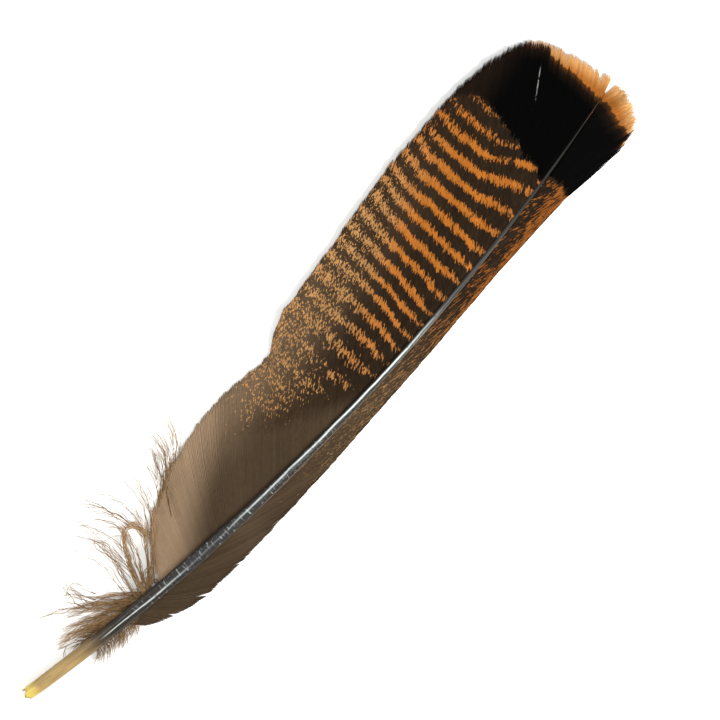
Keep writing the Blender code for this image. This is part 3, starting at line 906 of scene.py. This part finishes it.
def spin_strands(lines, heights, radii, sides, facts):
    """Closed tapering tubes along strand lines; returns points, faces and spread facts."""
    count, steps = heights.shape
    tangent = np.gradient(lines, axis=1)
    tangent /= np.maximum(np.linalg.norm(tangent, axis=-1, keepdims=True), 1e-6)
    normal = np.stack([-tangent[..., 1], tangent[..., 0]], axis=-1)
    points = np.zeros((count, steps, sides, 3))
    for side in range(sides):
        angle = 2.0 * math.pi * side / sides + 0.5 * math.pi
        across = math.cos(angle) * radii
        points[:, :, side, 0] = lines[..., 0] - normal[..., 0] * across
        points[:, :, side, 1] = lines[..., 1] - normal[..., 1] * across
        points[:, :, side, 2] = heights + math.sin(angle) * radii
    points = points.reshape(-1, 3)
    base = (np.arange(count)[:, None] * steps + np.arange(steps - 1)[None, :])[:, :, None] * sides
    side = np.arange(sides)[None, None, :]
    after = (side + 1) % sides
    faces = np.stack([base + side, base + sides + side, base + sides + after, base + after], axis=-1)
    faces = faces.reshape(-1, 4).tolist()
    for strand in range(count):
        first = strand * steps * sides
        last = first + (steps - 1) * sides
        faces.append(tuple(first + index for index in range(sides)))
        faces.append(tuple(last + index for index in reversed(range(sides))))
    spread = {fact: np.repeat(values.reshape(-1), sides) for fact, values in facts.items()}
    return points, faces, spread


def barbule_spikes(roots, directions, lengths, radius):
    """Fine closed spikes, one for each barbule, standing off the strands."""
    count = len(roots)
    reference = np.tile(np.array([0.0, 0.0, 1.0]), (count, 1))
    side = np.cross(directions, reference)
    side /= np.maximum(np.linalg.norm(side, axis=1, keepdims=True), 1e-6)
    up = np.cross(side, directions)
    corners = []
    for turn in (0.0, 2.0943951, 4.1887902):
        corners.append(roots + radius * (math.cos(turn) * side + math.sin(turn) * up))
    corners.append(roots + directions * lengths[:, None])
    points = np.stack(corners, axis=1).reshape(-1, 3)
    base = np.arange(count)[:, None] * 4
    faces = np.concatenate([base + np.array([[0, 1, 3]]), base + np.array([[1, 2, 3]]),
                            base + np.array([[2, 0, 3]]), base + np.array([[0, 2, 1]])]).tolist()
    return points, faces


def grow_tuft(name, locks, seed, loft):
    """A down tuft: each lock's strands, and the barbules along every strand."""
    dice = np.random.default_rng(seed)
    all_points, all_faces = [], []
    gathered = {"strand": [], "depth": [], "tone": []}

    def gather(points, faces, strand_values, depth_values):
        offset = sum(len(chunk) for chunk in all_points)
        all_points.append(points)
        all_faces.extend([tuple(index + offset for index in face) for face in faces])
        gathered["strand"].append(strand_values)
        gathered["depth"].append(depth_values)
        gathered["tone"].append(np.full(len(points), tone))

    start = 0
    for strands, spread, fray, thickness, tone, guide in locks:
        steps = LOCK_STEPS
        line, length = lock_line(guide, steps)
        tangent = np.gradient(line, axis=0)
        tangent /= np.linalg.norm(tangent, axis=1, keepdims=True)
        normal = np.stack([-tangent[:, 1], tangent[:, 0]], axis=1)
        part = np.linspace(0.0, 1.0, steps)
        lines = np.zeros((strands, steps, 2))
        heights = np.zeros((strands, steps))
        radii = np.zeros((strands, steps))
        for strand in range(strands):
            place = dice.uniform(-1.0, 1.0)
            own = dice.normal(0.0, 1.0, 4)
            width = 1.25 * spread * (0.5 + 0.5 * np.sin(math.pi * np.clip(part * 1.1, 0.0, 1.0)))
            width = width * (1.0 - ease(part, 0.7, 1.0)) + 1.3 * fray * ease(part, 0.35, 1.0)
            wave = 0.34 * np.sin(part * length * 0.42 + own[0] * 6.0)
            wave = wave + 0.20 * np.sin(part * length * 0.9 + own[1] * 6.0)
            wave = wave + 0.07 * np.sin(part * length * 2.3 + own[3] * 6.0)
            wave = wave * ease(part, 0.0, 0.35) * (1.0 if strands > 1 else 0.5)
            sway = place * width + wave + 0.5 * own[2] * ease(part, 0.4, 1.0) * (1.0 if strands > 1 else 0.2)
            shorter = 1.0 - abs(dice.normal(0.0, 0.14)) * (1.0 if strands > 2 else 0.2)
            take = np.clip(part * shorter, 0.0, 1.0)
            base_x = np.interp(take, part, line[:, 0])
            base_y = np.interp(take, part, line[:, 1])
            lines[strand, :, 0] = base_x + normal[:, 0] * sway
            lines[strand, :, 1] = base_y + normal[:, 1] * sway
            level = dice.uniform(0.4, 1.0)
            arch = loft * level * np.sin(math.pi * part ** 0.7)
            heights[strand] = 2.6 * (1.0 - ease(part, 0.0, 0.5)) + arch + 0.35 + 0.25 * level
            stout = 2.6 if strands < 4 else 1.9
            radii[strand] = stout * thickness * dice.uniform(0.75, 1.2) * (1.0 - 0.6 * part ** 1.5)
        strand_id = np.arange(strands, dtype=float) + start * 0.37
        depth = part[None, :] * np.ones((strands, 1))
        points, faces, facts = spin_strands(lines, heights, radii, 4, {
            "strand": strand_id[:, None] * np.ones((strands, steps)), "depth": depth})
        gather(points, faces, facts["strand"], facts["depth"])

        number = int(strands * length * BARBULES_PER_MM * (0.55 if strands < 4 else 1.0))
        pick = dice.integers(0, strands, number)
        along_part = dice.uniform(0.03, 0.995, number) * (steps - 1)
        low = np.floor(along_part).astype(int)
        mix = (along_part - low)[:, None]
        here = lines[pick, low] * (1.0 - mix) + lines[pick, low + 1] * mix
        level = heights[pick, low] * (1.0 - mix[:, 0]) + heights[pick, low + 1] * mix[:, 0]
        ahead = lines[pick, low + 1] - lines[pick, low]
        ahead /= np.maximum(np.linalg.norm(ahead, axis=1, keepdims=True), 1e-6)
        lean = dice.choice((-1.0, 1.0), number) * dice.uniform(0.15, 0.75, number)
        cos_lean, sin_lean = np.cos(lean), np.sin(lean)
        heading = np.stack([ahead[:, 0] * cos_lean - ahead[:, 1] * sin_lean,
                            ahead[:, 0] * sin_lean + ahead[:, 1] * cos_lean,
                            dice.normal(0.0, 0.18, number)], axis=1)
        heading /= np.linalg.norm(heading, axis=1, keepdims=True)
        long = dice.uniform(0.25, 1.1, number) * (1.0 - 0.35 * (along_part / (steps - 1)))
        roots = np.concatenate([here, level[:, None]], axis=1)
        points, faces = barbule_spikes(roots, heading, long, BARBULE_RADIUS)
        points[:, 2] = np.maximum(points[:, 2], DOWN_LOWEST)
        gather(points, faces, np.repeat(strand_id[pick], 4),
               np.repeat(0.5 + 0.5 * along_part / (steps - 1), 4))
        start += strands
    facts = {fact: np.concatenate(values) for fact, values in gathered.items()}
    lay_flat_map(add_piece(name, np.concatenate(all_points), all_faces, facts, down_paint, [name]))


DOWN_BROWN = paint(104, 77, 49)
DOWN_PALE = paint(168, 134, 92)
DOWN_DARK_AND_SHADE = paint(64, 47, 30)

down_paint, tree, shader = new_paint("soft_down")
strand = read_fact(tree, "strand")
depth = read_fact(tree, "depth")
drift = cloud(strand * 1.7, depth * 9.0, 0.0, 2.0, 0.6)
drift_tone = read_fact(tree, "tone") * 0.5 + (drift - 0.25)
down_colour = blend(drift_tone.step(0.3, 0.75), DOWN_BROWN, DOWN_PALE)
# Painted shade: the strands darken toward their roots by the shaft
down_colour = blend(depth.step(0.55, 0.0) * 0.6, down_colour, DOWN_DARK_AND_SHADE)
nodes_dark = cloud(strand * 3.1, depth * 42.0, 4.0, 1.0)
down_colour = blend(nodes_dark.step(0.56, 0.7) * 0.7, down_colour, DOWN_DARK_AND_SHADE)
finish_paint(shader, down_colour, drift * 0.3 + 0.55, 0.08, drift, 0.2, 0.00005)

upper_dice = np.random.default_rng(40)
UPPER_FRINGE = fringe_locks(upper_dice, 50.0, 66.0, 26, 1.0, 7.0, (20.0, 70.0), 2.2)
grow_tuft("upper_down_tuft", grow_locks(upper_dice, UPPER_LOCKS) + UPPER_FRINGE, 41, 1.2)

# ------------------------------------------------------------------------------------------
# Middle down tuft.  Shorter locks lower on the shaft, swept back toward the quill end and
# matted together close to the shaft.
# ------------------------------------------------------------------------------------------
MIDDLE_LOCKS = (
    (2, 14, 1.5, 1.7, 0.058, 0.6, (52.0, 56.0), (1.0, 1.0), 25.0, ((6.0, 32.0), (18.0, 6.0), (14.0, 6.0))),
    (2, 7, 1.0, 1.7, 0.05, 0.6, (45.0, 50.0), (3.0, 4.0), 45.0, ((10.0, 12.0), (12.0, 10.0))),
    (3, 4, 0.6, 1.3, 0.05, 0.6, (36.0, 42.0), (10.0, 13.0), 50.0, ((8.0, -25.0), (8.0, -15.0))),
    (2, 2, 0.2, 0.5, 0.048, 0.6, (38.0, 44.0), (12.0, 15.0), 40.0, ((8.0, -20.0), (5.0, 70.0), (5.0, 50.0))),
    (2, 21, 2.3, 2.0, 0.055, 0.6, (53.0, 59.0), (0.5, 0.5), 38.0, ((8.0, 16.0), (15.0, 8.0))),
)
middle_dice = np.random.default_rng(42)
MIDDLE_FRINGE = fringe_locks(middle_dice, 38.0, 60.0, 80, 1.0, 9.0, (35.0, 75.0), 2.0)
grow_tuft("middle_down_tuft", grow_locks(middle_dice, MIDDLE_LOCKS) + MIDDLE_FRINGE, 43, 0.9)

# ------------------------------------------------------------------------------------------
# Lower down tuft.  The last locks before the bare quill; a few single hairs reach over it.
# ------------------------------------------------------------------------------------------
LOWER_LOCKS = (
    (1, 18, 1.9, 1.8, 0.06, 0.75, (47.0, 47.0), (1.0, 1.0), 45.0, ((9.0, 24.0), (24.0, 12.0))),
    (3, 5, 0.7, 1.1, 0.048, 0.75, (33.0, 40.0), (4.0, 6.0), 62.0, ((10.0, 18.0), (12.0, 12.0))),
    (1, 16, 1.8, 1.8, 0.055, 0.75, (43.0, 43.0), (1.0, 1.0), 50.0, ((8.0, 14.0), (8.0, 10.0))),
    (2, 1, 0.1, 0.2, 0.045, 0.75, (20.0, 23.0), (5.0, 6.0), 100.0, ((5.0, 35.0), (4.0, 20.0))),
)
lower_dice = np.random.default_rng(46)
LOWER_FRINGE = fringe_locks(lower_dice, 27.0, 42.0, 50, 1.0, 8.0, (40.0, 78.0), 2.2)
grow_tuft("lower_down_tuft", grow_locks(lower_dice, LOWER_LOCKS) + LOWER_FRINGE, 47, 1.4)

# ------------------------------------------------------------------------------------------
# Down on the narrow side.  Short curling strands that hook out from the shaft below the
# narrow vane.
# ------------------------------------------------------------------------------------------
narrow_fringe_dice = np.random.default_rng(52)
NARROW_FRINGE = fringe_locks(narrow_fringe_dice, 29.0, 50.0, 110, -1.0, 9.5, (5.0, 50.0), 2.0)
grow_tuft("narrow_side_down", NARROW_FRINGE, 53, 0.9)
